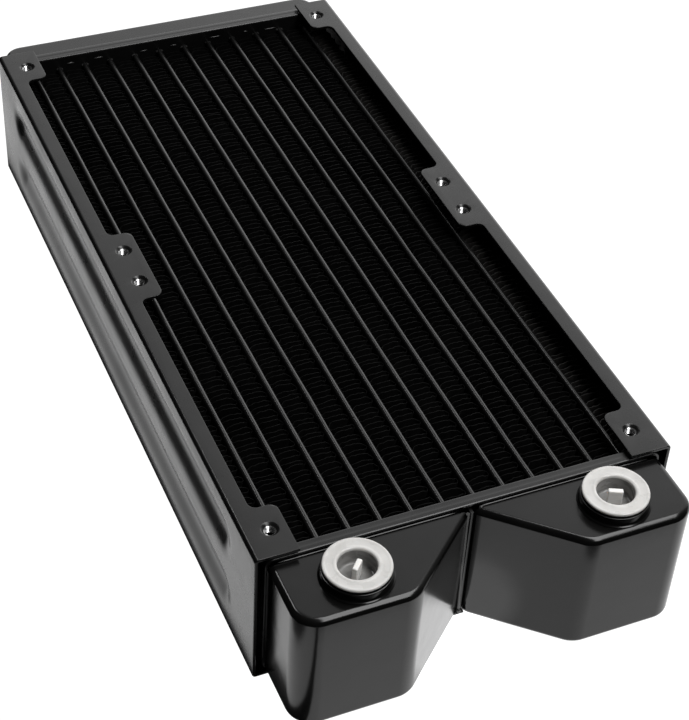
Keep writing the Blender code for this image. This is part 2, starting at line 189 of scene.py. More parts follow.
# Ports
PORT_X = 0.5 * (BOSS_LOW.x + BOSS_HIGH.x)
PORT_Y = 0.5 * (BOSS_LOW.y + BOSS_HIGH.y)
PORT_SEGMENTS = 96
TANK_HOLE_R = 8.0
BOSS_BORE_R = 6.6
BOSS_WALL_R = 9.4
BOSS_NECK_R = 7.7
PORT_PITCH = 1.337         # of the G1/4 thread
PORT_THREAD_DEPTH = 0.62
SHANK_R = 6.25
SHANK_GROOVE_R = 5.7       # plain groove between the thread and the flange
SHANK_STEP = 0.19
PLUG_FLANGE_H = 1.0
CUP_FLOOR_Z = extent("tube_01")[1].z + 1.7
GRIP_SIZE = (4.0, 1.5)
GRIP_ROOT = 0.3            # how far the grip reaches into the cup's floor
GRIP_DROP = 0.12           # from the plug's top to the grip's
GRIP_EDGE_R = 0.35
LEFT_PLUG_TURN = 47.0      # how far each plug happens to be turned, in degrees
RIGHT_PLUG_TURN = -25.0


# Studio, in metres
TABLE_X = (-0.084, 1.0)
TABLE_SLOT_X = (-0.062, -0.055)  # unlit slot at the left wall's foot, dark like the object's shadow
TABLE_Y = (-0.172, 1.2)
TABLE_GLOW = 1.05
TABLE_SEGMENTS = (10, 12)
TABLE_DROP = 0.0001              # gap between the table and the object
LIGHT_POOL_AT = (-0.006, -0.1225, 0.0)  # painted pool of light: the table glows brighter here, between the port tanks
LIGHT_POOL_GLOW = 1.75
LIGHT_POOL_R = (0.011, 0.0165)
GLOW_FROM = (0.62, 0.72, 0.30)
GLOW_STOPS = (
    (0.45, grey(0.02)), (0.74, grey(0.22)), (0.81, grey(0.95)), (0.88, grey(1.25)), (0.945, grey(1.6)),
    (1.0, grey(2.6)),
)
BACKDROP = grey(1.1)             # what the camera sees beyond the table

# Lights: place, aim, size, power
OVERHEAD = ((0.44, -0.6, 1.2), (0.44, -0.6, 0.0), (0.56, 1.8), 25.0)
EDGE_STRIP = ((-0.27, 0.75, 1.2), (-0.05, -0.12, 0.04), (0.2, 0.35), 2.2)

# Camera
CAMERA_AT = (-0.17471, -0.40087, 0.38829)
CAMERA_TURN = (48.2599, -2.7776, -22.9422)  # in degrees
CAMERA_LENS = 91.97
CAMERA_SENSOR = 36.0
CAMERA_CLIP = (0.01, 20.0)

# ---------------------------------------------------------------- mesh helpers


class Shape:
    """A mesh under construction, in millimetres."""

    def __init__(self):
        self.bm = bmesh.new()

    def ring(self, points):
        return [self.bm.verts.new(point) for point in points]

    def bridge(self, first, second, closed=True, material=0):
        count = len(first)
        for i in range(count if closed else count - 1):
            j = (i + 1) % count
            face = self.bm.faces.new((first[i], first[j], second[j], second[i]))
            face.material_index = material

    def loft(self, loops, caps=(True, True), material=0):
        rings = [self.ring(loop) for loop in loops]
        for low, high in zip(rings, rings[1:]):
            self.bridge(low, high, True, material)
        for wanted, ring in zip(caps, (rings[0], rings[-1])):
            if wanted:
                self.bm.faces.new(ring).material_index = material
        return rings

    def fill(self, *rings, material=0):
        """Flat face bounded by closed rings; the later rings are holes."""
        edges = []
        for ring in rings:
            for i, vert in enumerate(ring):
                pair = (vert, ring[(i + 1) % len(ring)])
                edges.append(self.bm.edges.get(pair) or self.bm.edges.new(pair))
        made = bmesh.ops.triangle_fill(self.bm, use_beauty=True, use_dissolve=False, edges=edges)
        for item in made["geom"]:
            if isinstance(item, bmesh.types.BMFace):
                item.material_index = material


def piece(name, shape, looks, stands_for=(), body=BODY, sharp=38.0):
    """Turn a shape into an object that rides on a body, with smooth shading and even flats."""
    bm = shape.bm
    bmesh.ops.remove_doubles(bm, verts=bm.verts, dist=0.002)
    bmesh.ops.recalc_face_normals(bm, faces=bm.faces)
    bmesh.ops.scale(bm, vec=(MM, MM, MM), verts=bm.verts)
    mesh = bpy.data.meshes.new(name)
    bm.to_mesh(mesh)
    bm.free()
    for look in looks:
        mesh.materials.append(look)
    mesh.shade_smooth()
    mesh.set_sharp_from_angle(angle=math.radians(sharp))
    made = bpy.data.objects.new(name, mesh)
    bpy.context.scene.collection.objects.link(made)
    normals = made.modifiers.new("even_flats", "WEIGHTED_NORMAL")
    normals.keep_sharp = True
    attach(made, body)
    if stands_for:
        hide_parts(*stands_for)
    return made


def arc(cx, cy, radius, start, end, steps):
    points = []
    for i in range(steps + 1):
        angle = math.radians(start + (end - start) * i / steps)
        points.append((cx + radius * math.cos(angle), cy + radius * math.sin(angle)))
    return points


def circle(centre, radius, z, segments):
    points = []
    for i in range(segments):
        angle = 2.0 * math.pi * i / segments
        points.append((centre[0] + radius * math.cos(angle), centre[1] + radius * math.sin(angle), z))
    return points


def spread(low, high, step):
    """Evenly spaced values from low up to, but not including, high."""
    count = max(1, round((high - low) / step))
    return [low + (high - low) * i / count for i in range(count)]


def wander(seed, at, size):
    """Smooth repeatable wobble along a length."""
    return size * noise.noise(Vector((seed * 7.31, at, seed * 1.7)))


def blunt_box(shape, low, high, radius, segments=3):
    """Box with rounded edges, added to a shape."""
    made = bmesh.ops.create_cube(shape.bm, size=1.0)
    size = [b - a for a, b in zip(low, high)]
    middle = [0.5 * (a + b) for a, b in zip(low, high)]
    for vert in made["verts"]:
        vert.co = Vector([m + s * c for m, s, c in zip(middle, size, vert.co)])
    edges = {edge for vert in made["verts"] for edge in vert.link_edges}
    bmesh.ops.bevel(
        shape.bm, geom=list(edges), offset=radius, segments=segments, profile=0.5, affect="EDGES"
    )


# ---------------------------------------------------------------- materials


def shader_material(name):
    made = bpy.data.materials.new(name)
    made.use_nodes = True
    return made, made.node_tree.nodes, made.node_tree.links, made.node_tree.nodes["Principled BSDF"]


def noise_node(nodes, links, scale, detail=3.0, roughness=0.55, stretch=(1.0, 1.0, 1.0)):
    """Noise in object space; stretch scales the three directions."""
    place = nodes.new("ShaderNodeTexCoord")
    mapping = nodes.new("ShaderNodeMapping")
    mapping.inputs["Scale"].default_value = stretch
    texture = nodes.new("ShaderNodeTexNoise")
    texture.inputs["Scale"].default_value = scale
    texture.inputs["Detail"].default_value = detail
    texture.inputs["Roughness"].default_value = roughness
    links.new(place.outputs["Object"], mapping.inputs["Vector"])
    links.new(mapping.outputs["Vector"], texture.inputs["Vector"])
    return texture


def ramp(nodes, links, source, stops):
    """Colour ramp over a 0..1 value; stops are (position, colour)."""
    made = nodes.new("ShaderNodeValToRGB")
    elements = made.color_ramp.elements
    for i, (position, colour) in enumerate(stops):
        element = elements[i] if i < 2 else elements.new(position)
        element.position = position
        element.color = colour
    links.new(source, made.inputs["Fac"])
    return made.outputs["Color"]


def span(nodes, links, source, low, high, from_low=0.3, from_high=0.7):
    """Map the range from_low..from_high of a value to low..high."""
    made = nodes.new("ShaderNodeMapRange")
    made.inputs["From Min"].default_value = from_low
    made.inputs["From Max"].default_value = from_high
    made.inputs["To Min"].default_value = low
    made.inputs["To Max"].default_value = high
    links.new(source, made.inputs["Value"])
    return made.outputs["Result"]


def bump(nodes, links, source, strength, distance, below=None):
    made = nodes.new("ShaderNodeBump")
    made.inputs["Strength"].default_value = strength
    made.inputs["Distance"].default_value = distance
    links.new(source, made.inputs["Height"])
    if below is not None:
        links.new(below, made.inputs["Normal"])
    return made.outputs["Normal"]


def painted(name, dark, light, rough, specular, grain, grain_scale, warm=0.01, ior=1.43):
    """Black paint: blotchy colour and gloss, a fine grain and a long soft ripple."""
    made, nodes, links, shader = shader_material(name)
    blotch = noise_node(nodes, links, 45.0, 4.0, 0.6)
    speck = noise_node(nodes, links, grain_scale, 2.0, 0.6)
    ripple = noise_node(nodes, links, 130.0, 1.0, 0.4)
    stops = ((0.3, grey(dark, warm)), (0.72, grey(light, warm)))
    links.new(ramp(nodes, links, blotch.outputs["Fac"], stops), shader.inputs["Base Color"])
    links.new(span(nodes, links, blotch.outputs["Fac"], *rough), shader.inputs["Roughness"])
    long_wave = bump(nodes, links, ripple.outputs["Fac"], 0.12, 0.0004)
    fine_wave = bump(nodes, links, speck.outputs["Fac"], grain, 0.00004, long_wave)
    links.new(fine_wave, shader.inputs["Normal"])
    shader.inputs["Specular IOR Level"].default_value = specular
    shader.inputs["IOR"].default_value = ior
    return made


def bare_metal(name):
    """Cut metal, a little stained."""
    made, nodes, links, shader = shader_material(name)
    stain = noise_node(nodes, links, 900.0, 3.0)
    colour = ramp(nodes, links, stain.outputs["Fac"], ((0.3, grey(0.5)), (0.7, grey(0.78))))
    links.new(colour, shader.inputs["Base Color"])
    links.new(span(nodes, links, stain.outputs["Fac"], 0.18, 0.34), shader.inputs["Roughness"])
    links.new(bump(nodes, links, stain.outputs["Fac"], 0.3, 0.00003), shader.inputs["Normal"])
    shader.inputs["Metallic"].default_value = 1.0
    return made


def plug_plastic(name, dark, light):
    """Milky moulded plastic with faint flow marks."""
    made, nodes, links, shader = shader_material(name)
    flow = noise_node(nodes, links, 220.0, 3.0, 0.5, (1.0, 1.0, 2.5))
    fine = noise_node(nodes, links, 1800.0, 2.0)
    tint = (1.0, 0.985, 0.955)
    low = tuple(dark * t for t in tint) + (1.0,)
    high = tuple(light * t for t in tint) + (1.0,)
    colour = ramp(nodes, links, flow.outputs["Fac"], ((0.3, low), (0.7, high)))
    links.new(colour, shader.inputs["Base Color"])
    links.new(span(nodes, links, flow.outputs["Fac"], 0.22, 0.36), shader.inputs["Roughness"])
    links.new(bump(nodes, links, fine.outputs["Fac"], 0.1, 0.00004), shader.inputs["Normal"])
    shader.inputs["Subsurface Weight"].default_value = 0.35
    shader.inputs["Subsurface Radius"].default_value = (0.0012, 0.0011, 0.001)
    shader.inputs["Subsurface Scale"].default_value = 1.0
    shader.inputs["IOR"].default_value = 1.49
    return made


POWDER = painted("powder_black_coat", 0.003, 0.005, (0.24, 0.32), 0.5, 0.35, 3200.0)
GLOSS = painted("gloss_black_paint", 0.002, 0.004, (0.14, 0.22), 0.5, 0.08, 1500.0, 0.02, 1.39)
FIN = painted("fin_black_paint", 0.002, 0.005, (0.45, 0.66), 0.06, 0.3, 2500.0)
# painted light: a lighter, warmer copy of the fin paint for the last strip, standing in for light that
# reaches it beside the right flange
FIN_PAINTED_LIGHT = painted("fin_paint_painted_light", 0.008, 0.022, (0.45, 0.64), 0.2, 0.3, 2500.0, 0.05)
TUBE = painted("tube_black_paint", 0.004, 0.008, (0.2, 0.3), 0.44, 0.3, 1800.0)
SOLDER = painted("solder_under_paint", 0.01, 0.03, (0.25, 0.4), 0.5, 0.5, 1400.0)
BARE = bare_metal("bare_tapped_steel")
PLUG = plug_plastic("milky_plug_plastic", 0.48, 0.56)
# painted shade: a darker copy of the plug plastic for the inside of the cup
PLUG_CUP_SHADED = plug_plastic("plug_plastic_painted_shade", 0.16, 0.27)
# painted light: a lighter copy of the plug plastic for the grip
PLUG_GRIP_LIT = plug_plastic("plug_plastic_painted_light", 0.7, 0.8)


# ---------------------------------------------------------------- side panels


def groove_depth(y, z):
    """How far the wall is pressed in: a rounded floor, straight flanks and long shoulders."""
    near = GROOVE_TIPS[0] + GROOVE_R
    far = GROOVE_TIPS[1] - GROOVE_R
    along = max(near - y, y - far, 0.0)
    depth = 0.0
    for z_mid in GROOVE_ZS:
        reach = math.hypot(along, z - z_mid)
        if reach >= GROOVE_R:
            continue
        shoulder = GROOVE_R - GROOVE_SHOULDER_R
        rest = 1.0 - max(reach - GROOVE_SHOULDER_R, 0.0) / shoulder
        depth = GROOVE_SLOPE * shoulder / GROOVE_SHOULDER_POWER * rest ** GROOVE_SHOULDER_POWER
        depth += GROOVE_SLOPE * (GROOVE_SHOULDER_R - min(max(reach, GROOVE_FLOOR_R), GROOVE_SHOULDER_R))
        inner = min(reach, GROOVE_FLOOR_R)
        depth += GROOVE_SLOPE * (GROOVE_FLOOR_R ** 2 - inner ** 2) / (2.0 * GROOVE_FLOOR_R)
    return depth


def wall_section(side, y, depth):
    """Half of the channel's section between the two flanges, depth below the outer face."""
    centre = WALL_X - BEND_R
    radius = BEND_R - depth
    points = []
    for x, z in arc(centre, TOP - BEND_R, radius, 90, 0, BEND_STEPS):
        points.append((side * x, y, z))
    tall = TOP - 2.0 * BEND_R
    for i in range(1, WALL_STEPS):
        z = TOP - BEND_R - tall * i / WALL_STEPS
        points.append((side * (WALL_X - depth - groove_depth(y, z)), y, z))
    for x, z in arc(centre, BEND_R, radius, 0, -90, BEND_STEPS):
        points.append((side * x, y, z))
    return points


def cut_edge_steps():
    """(inset, depth) pairs round a cut sheet edge, from the outer face to the inner face."""
    r = CUT_EDGE_R
    q = r * (1.0 - math.sqrt(0.5))
    return ((r, 0.0), (q, q), (0.0, r), (0.0, SHEET - r), (q, SHEET - q), (r, SHEET))


def panel_stations():
    """Where the wall is sliced along Y: close together at the groove ends."""
    y_low = PANEL_LOW.y + CUT_EDGE_R
    y_high = PANEL_HIGH.y - CUT_EDGE_R
    first, last = GROOVE_TIPS
    ys = spread(y_low, first - 1.0, PLAIN_STEP)
    ys += spread(first - 1.0, first + GROOVE_R + 1.0, FINE_STEP)
    ys += spread(first + GROOVE_R + 1.0, last - GROOVE_R - 1.0, COARSE_STEP)
    ys += spread(last - GROOVE_R - 1.0, last + 1.0, FINE_STEP)
    ys += spread(last + 1.0, y_high, PLAIN_STEP)
    return ys + [y_high]


def recesses():
    """Y spans of the cuts between the tabs."""
    spans = []
    for square in range(2):
        start = FIRST_HOLE_Y + square * (HOLE_SQUARE + HOLE_GAP)
        spans.append((start + TAB_REACH, start + HOLE_SQUARE - TAB_REACH))
    return spans


def flange_edge(inset):
    """Cut edge of a flange, from the near end of the bend line to its far end."""
    bend_x = WALL_X - BEND_R
    tab = TAB_CORNER_R - inset
    inner = FLANGE_CORNER_R + inset
    points = [(bend_x, PANEL_LOW.y + inset), (TAB_X + inset, PANEL_LOW.y + inset)]
    for low, high in recesses():
        tab_x = TAB_X + TAB_CORNER_R
        inner_x = FLANGE_X - FLANGE_CORNER_R
        points += arc(tab_x, low - TAB_CORNER_R, tab, 180, 90, CORNER_STEPS)
        points += arc(inner_x, low + FLANGE_CORNER_R, inner, 270, 360, CORNER_STEPS)
        points += arc(inner_x, high - FLANGE_CORNER_R, inner, 0, 90, CORNER_STEPS)
        points += arc(tab_x, high + TAB_CORNER_R, tab, 270, 180, CORNER_STEPS)
    points += [(TAB_X + inset, PANEL_HIGH.y - inset), (bend_x, PANEL_HIGH.y - inset)]
    return points


def hole_centres():
    ys = []
    for square in range(2):
        start = FIRST_HOLE_Y + square * (HOLE_SQUARE + HOLE_GAP)
        ys += [start, start + HOLE_SQUARE]
    return ys


def tapped_hole(shape, centre, level):
    """Dimpled, tapped hole with its collar; returns its rings on the outer and the inner face."""
    rings = [shape.ring(circle(centre, r, level(d), HOLE_SEGMENTS)) for r, d in HOLE_RINGS]
    marks = [0] * len(rings)
    start = HOLE_RINGS[-1][1] + THREAD_LEAD
    for turn in range(THREAD_TURNS):
        for step, radius in enumerate(THREAD_RADII):
            depth = start + THREAD_PITCH * (turn + 0.5 * step)
            rings.append(shape.ring(circle(centre, radius, level(depth), HOLE_SEGMENTS)))
            marks.append(1)
    for radius, depth in COLLAR_RINGS:
        rings.append(shape.ring(circle(centre, radius, level(depth), HOLE_SEGMENTS)))
        marks.append(0)
    for i in range(len(rings) - 1):
        shape.bridge(rings[i], rings[i + 1], True, max(marks[i], marks[i + 1]))
    return rings[0], rings[-1]


def add_flange(shape, side, level, stations):
    """One flange: both faces, the rounded cut edge and four tapped holes."""
    bend_x = WALL_X - BEND_R
    steps = cut_edge_steps()
    rings = []
    for inset, depth in steps:
        rings.append(shape.ring([(side * x, y, level(depth)) for x, y in flange_edge(inset)]))
    for first, second in zip(rings, rings[1:]):
        shape.bridge(first, second, False)
    holes = [tapped_hole(shape, (side * HOLE_X, y), level) for y in hole_centres()]
    for ring, which in ((rings[0], 0), (rings[-1], 1)):
        z = ring[0].co.z
        bend_line = shape.ring([(side * bend_x, y, z) for y in reversed(stations[1:-1])])
        shape.fill(ring + bend_line, *[hole[which] for hole in holes])


def side_panel(name, side):
    shape = Shape()
    stations = panel_stations()
    steps = cut_edge_steps()
    rows = [(y, 0.0) for y in stations]
    rows += [(PANEL_HIGH.y - inset, depth) for inset, depth in steps[1:-1]]
    rows += [(y, SHEET) for y in reversed(stations)]
    rows += [(PANEL_LOW.y + inset, depth) for inset, depth in reversed(steps[1:-1])]
    sections = [shape.ring(wall_section(side, y, depth)) for y, depth in rows]
    for i, section in enumerate(sections):
        after = (i + 1) % len(sections)
        # painted shade: the inside face of the sheet takes the darker, duller fin paint, so it stays dark
        # inside the channel
        inside = rows[i][1] == SHEET and rows[after][1] == SHEET
        shape.bridge(section, sections[after], False, 2 if inside else 0)
    add_flange(shape, side, lambda depth: TOP - depth, stations)
    add_flange(shape, side, lambda depth: depth, stations)
    return piece(name + "_sheet", shape, (POWDER, BARE, FIN), (name,))


# ---------------------------------------------------------------- header plates and core


def rounded_rectangle(half, low, high, radius, y):
    """Loop in a plane of constant Y."""
    corners = (
        (half - radius, low + radius, -90),
        (half - radius, high - radius, 0),
        (radius - half, high - radius, 90),
        (radius - half, low + radius, 180),
    )
    points = []
    for cx, cz, start in corners:
        points += [(x, y, z) for x, z in arc(cx, cz, radius, start, start + 90, CORNER_STEPS)]
    return points


def header_plate(name, low, high, direction):
    shape = Shape()
    web = high.y if direction < 0 else low.y
    loops = []
    for distance, outset in HEADER_PROFILE:
        radius = HEADER_CORNER_R + outset
        y = web + direction * distance
        loops.append(rounded_rectangle(high.x + outset, low.z - outset, high.z + outset, radius, y))
    shape.loft(loops)
    return piece(name + "_pan", shape, (POWDER,), (name,))


def flat_tube(number):
    """Flat tube on edge; its rounded edges wander a little, as drawn and soldered tubes do."""
    name = "tube_%02d" % number
    low, high = extent(name)
    half = 0.5 * (high.x - low.x)
    shape = Shape()
    loops = []
    for y in spread(low.y, high.y, TUBE_STEP) + [high.y]:
        sway = wander(number, 0.045 * y, TUBE_SWAY) + wander(number + 40, 0.35 * y, TUBE_SHAKE)
        lift = wander(number + 80, 0.06 * y, TUBE_LIFT) - TUBE_SINK
        swell = 1.0 + wander(number + 120, 0.12 * y, TUBE_SWELL)
        middle = 0.5 * (low.x + high.x) + sway
        thick = half * min(swell, TUBE_SWELL_MAX)
        section = arc(middle, high.z + lift - thick, thick, 0, 180, TUBE_RING_STEPS)
        section += arc(middle, low.z - lift + thick, thick, 180, 360, TUBE_RING_STEPS)
        loops.append([(x, y, z) for x, z in section])
    shape.loft(loops)
    return piece(name + "_drawn", shape, (TUBE,), (name,), sharp=60.0)


def fin_path(low, high, seed):
    """Centre line of a folded strip seen from above: points (x, y, how far the crest dips there)."""
    rng = random.Random(seed)
    legs = round((high.y - low.y) / FIN_LEG_PITCH)
    pitch = (high.y - low.y) / legs
    walls = (low.x - FIN_REACH, high.x + FIN_REACH)
    radius = 0.5 * pitch
    path = []
    for leg in range(legs):
        start, end = (walls[0], walls[1]) if leg % 2 == 0 else (walls[1], walls[0])
        way = 1.0 if end > start else -1.0
        y = low.y + FIN_SHIFT + pitch * leg + rng.uniform(-FIN_SHIFT, FIN_SHIFT)
        slant = rng.uniform(*FIN_SLANT)
        bow = rng.uniform(-FIN_BOW, FIN_BOW)
        sag = rng.uniform(0.0, FIN_SAG)
        for share in FIN_LEG_SHARES:
            x = start + way * (radius + (abs(end - start) - 2.0 * radius) * share)
            dip = sag + FIN_LEG_DIP * (2.0 * share - 1.0) ** 4
            kink = rng.uniform(-FIN_KINK, FIN_KINK)
            path.append((x, y + slant * share + bow * math.sin(math.pi * share) + kink, dip))
        if leg < legs - 1:
            for angle in FIN_TURN_ANGLES:
                reach = radius * math.cos(math.radians(angle))
                rise = radius * (1.0 + math.sin(math.radians(angle)))
                path.append((end - way * (radius - reach), y + slant + rise, FIN_TURN_DIP))
    return path


def fin_strip(number):
    """Folded foil: both faces, the cut top and bottom edges and the two ends."""
    name = "fin_strip_%02d" % number
    low, high = extent(name)
    path = fin_path(low, high, 100 + number)
    count = len(path)
    half = 0.5 * FIN_FOIL
    sides = ([], [])
    for i, (x, y, _) in enumerate(path):
        before = path[max(i - 1, 0)]
        after = path[min(i + 1, count - 1)]
        along = Vector((after[0] - before[0], after[1] - before[1])).normalized()
        sides[0].append((x - along.y * half, y + along.x * half))
        sides[1].append((x + along.y * half, y - along.x * half))
    levels = (low.z, low.z + FIN_SOFT_EDGE, high.z - FIN_SOFT_EDGE, high.z)
    shape = Shape()
    grids = []
    for points in sides:
        grid = []
        for level, z in enumerate(levels):
            row = []
            for i, (x, y) in enumerate(points):
                edge = 1.0 if level in (0, 3) else 0.0
                lean = edge * wander(number + 200 * level, 0.31 * i, FIN_LEAN)
                dip = edge * path[i][2] * (1.0 if level == 0 else -1.0)
                rise = dip + edge * wander(number + 300 * level, 0.17 * i, FIN_RIPPLE)
                row.append((x, y + lean, z + rise))
            grid.append(shape.ring(row))
        grids.append(grid)
    for grid in grids:
        for first, second in zip(grid, grid[1:]):
            shape.bridge(first, second, False)
    for level in (0, 3):
        shape.bridge(grids[0][level], grids[1][level], False)
    for end in (0, -1):
        for level in range(3):
            corners = (grids[0][level][end], grids[0][level + 1][end])
            shape.bm.faces.new(corners + (grids[1][level + 1][end], grids[1][level][end]))
    # the last strip takes the lighter copy of the fin paint: painted light beside the right flange
    look = FIN_PAINTED_LIGHT if number == FIN_COUNT else FIN
    return piece(name + "_foil", shape, (look,), (name,), sharp=50.0)


def blob(shape, centre, size, seed):
    """Lump of solder: a small sphere, squashed and roughened."""
    made = bmesh.ops.create_icosphere(shape.bm, subdivisions=2, radius=1.0)
    for vert in made["verts"]:
        swell = 1.0 + 0.3 * noise.noise(vert.co * 1.3 + Vector((seed, seed * 0.7, 0.0)))
        vert.co = Vector([c + s * swell * v for c, s, v in zip(centre, size, vert.co)])


def solder_fillets(name, web, direction):
    """Solder where the tubes enter a header, with a few runs between them."""
    rng = random.Random(name)
    shape = Shape()
    seed = rng.uniform(0.0, 50.0)
    for number in range(1, TUBE_COUNT + 1):
        low, high = extent("tube_%02d" % number)
        x = 0.5 * (low.x + high.x)
        seed += 1.37
        size = (rng.uniform(1.1, 1.5), rng.uniform(0.4, 0.7), rng.uniform(0.5, 0.8))
        blob(shape, (x, web - direction * 0.1, high.z - 0.75), size, seed)
        if rng.random() < 0.6:
            seed += 1.37
            at = x + rng.uniform(2.5, 5.5)
            size = (rng.uniform(0.8, 2.4), rng.uniform(0.15, 0.3), rng.uniform(0.12, 0.3))
            blob(shape, (at, web - direction * 0.05, high.z + rng.uniform(0.2, 1.6)), size, seed)
    return piece(name, shape, (SOLDER,), sharp=70.0)


# ---------------------------------------------------------------- tanks


def edge_rounds(radius, steps=6):
    """(inset, drop) pairs from a wall up to the flat face beside it."""
    pairs = []
    for i in range(steps + 1):
        angle = 0.5 * math.pi * i / steps
        pairs.append((radius * (1.0 - math.cos(angle)), radius * (1.0 - math.sin(angle))))
    return pairs


def port_tank_outline(side, inset, rear_inset):
    """Plan of a port tank; inset moves the walls inwards, rear_inset the side next to the header."""
    rear = TANK_REAR - rear_inset
    front = TANK_LOW.y + inset
    outer = TANK_HIGH.x - inset
    run = NOTCH_CORNER_X - NOTCH_FOOT[0]
    drop = NOTCH_FOOT[1] - TANK_LOW.y
    slant = math.atan2(drop, run)
    slope_x = NOTCH_FOOT[0] + inset / math.sin(slant)
    small = max(TANK_INNER_R - inset, 0.3)
    large = max(TANK_OUTER_R - inset, 0.3)
    turn = max(FOOT_R[side] - inset, 0.15)
    turn_x = TANK_LOW.x + inset + turn
    turn_y = NOTCH_FOOT[1] + (inset + turn - (turn_x - NOTCH_FOOT[0]) * math.sin(slant)) / math.cos(slant)
    to_rear = math.degrees(math.asin(min((turn_y - rear) / turn, math.cos(slant))))
    points = []
    for i, (x, y) in enumerate(arc(turn_x, turn_y, turn, 180 + to_rear, 270 - math.degrees(slant), 6)):
        nearest = rear - 0.015 * i
        if y > nearest:
            x, y = slope_x + (NOTCH_FOOT[1] - nearest) * run / drop, nearest
        points.append((x, y))
    corner_x = slope_x + (NOTCH_FOOT[1] - front) * run / drop + small * math.tan(0.5 * slant)
    points += arc(corner_x, front + small, small, 270 - math.degrees(slant), 270, 8)
    points += arc(outer - large, front + large, large, 270, 360, 12)
    points += [(outer, rear)]
    return [(side * x, y) for x, y in points]


def return_tank_outline(inset, rear_inset):
    half = RETURN_HIGH.x - inset
    far = RETURN_HIGH.y - inset
    rear = RETURN_REAR + rear_inset
    radius = max(RETURN_CORNER_R - inset, 0.3)
    points = [(-half, rear), (half, rear)]
    points += arc(half - radius, far - radius, radius, 0, 90, 12)
    points += arc(radius - half, far - radius, radius, 90, 180, 12)
    return points


def tank_loops(outline, low, high, radius):
    """Loops of a pressed tank from its bottom face to its top face."""
    loops = []
    rounds = edge_rounds(radius)
    for inset, drop in reversed(rounds):
        loops.append([(x, y, low + drop) for x, y in outline(inset, min(inset, REAR_EDGE_R))])
    for inset, drop in rounds:
        loops.append([(x, y, high - drop) for x, y in outline(inset, min(inset, REAR_EDGE_R))])
    return loops


def port_tank(name, side):
    """Pressed tank, hollow, with the port's hole in its top."""
    shape = Shape()

    def outer_outline(inset, rear_inset):
        return port_tank_outline(side, inset, rear_inset)

    def inner_outline(inset, rear_inset):
        return port_tank_outline(side, inset + TANK_WALL, rear_inset + TANK_WALL)

    centre = (side * PORT_X, PORT_Y)
    outer = shape.loft(tank_loops(outer_outline, TANK_BOTTOM, TANK_TOP, TANK_EDGE_R), (True, False))
    floor = TANK_BOTTOM + TANK_WALL
    ceiling = TANK_TOP - TANK_WALL
    inner = shape.loft(tank_loops(inner_outline, floor, ceiling, TANK_EDGE_R - TANK_WALL), (True, False))
    mouth = shape.ring(circle(centre, TANK_HOLE_R, TANK_TOP, PORT_SEGMENTS))
    throat = shape.ring(circle(centre, TANK_HOLE_R, ceiling, PORT_SEGMENTS))
    shape.fill(outer[-1], mouth)
    shape.fill(inner[-1], throat)
    shape.bridge(mouth, throat)
    return piece(name + "_shell", shape, (GLOSS,), (name,))


def return_tank():
    shape = Shape()
    shape.loft(tank_loops(return_tank_outline, TANK_BOTTOM, TANK_TOP, TANK_EDGE_R))
    return piece("return_tank_shell", shape, (POWDER,), ("return_tank",))


def tank_rim(name, x_low, x_high):
    """Rolled edge of a port tank that stands along the header."""
    shape = Shape()
    y_mid = TANK_REAR + 0.02
    loops = []
    for x in spread(x_low, x_high, 2.0) + [x_high]:
        end = min(x - x_low, x_high - x, RIM_TAPER) / RIM_TAPER
        size = RIM_R * (0.4 + 0.6 * end)
        z_mid = TANK_TOP + wander(3.0, 0.09 * x, 0.05)
        loop = []
        for i in range(RIM_SEGMENTS):
            angle = 2.0 * math.pi * i / RIM_SEGMENTS
            loop.append((x, y_mid + size * math.cos(angle), z_mid + size * math.sin(angle)))
        loops.append(loop)
    shape.loft(loops)
    return piece(name, shape, (GLOSS,), sharp=60.0)


def divider_seam():
    """Bead that closes the joint between the two tanks, with what is left of the solder round it."""
    shape = Shape()
    loops = []
    low, high = BEAD_Z
    for z in spread(low, high, BEAD_STEP) + [high]:
        share = (z - low) / (high - low)
        size = BEAD_R + wander(11.0, 0.22 * z, 0.16)
        lean = -0.35 - share + wander(17.0, 0.12 * z, 0.2)
        y_mid = NOTCH_FOOT[1] - 0.1 - 0.85 * max(-lean - NOTCH_FOOT[0], 0.0)
        loop = []
        for i in range(BEAD_SEGMENTS):
            angle = 2.0 * math.pi * i / BEAD_SEGMENTS
            loop.append((lean + size * math.cos(angle), y_mid + size * math.sin(angle), z))
        loops.append(loop)
    shape.loft(loops)
    blunt_box(shape, LEDGE_LOW, LEDGE_HIGH, LEDGE_EDGE_R)
    blob(shape, DRIP_AT, DRIP_SIZE, 4.0)
    blob(shape, DAB_AT, DAB_SIZE, 9.0)
    return piece("divider_seam", shape, (SOLDER,), sharp=70.0)


# ---------------------------------------------------------------- ports and plugs


def lathe(shape, profile, centre, material=0, closed=False, radius_at=None):
    """Body of revolution; radius_at may change a ring's radius with its angle."""
    rings = []
    for radius, z in profile:
        loop = []
        for i in range(PORT_SEGMENTS):
            share = i / PORT_SEGMENTS
            r = radius_at(radius, z, share) if radius_at else radius
            angle = 2.0 * math.pi * share
            loop.append((centre[0] + r * math.cos(angle), centre[1] + r * math.sin(angle), z))
        rings.append(shape.ring(loop))
    pairs = list(zip(rings, rings[1:]))
    if closed:
        pairs.append((rings[-1], rings[0]))
    for first, second in pairs:
        shape.bridge(first, second, True, material)
    return rings


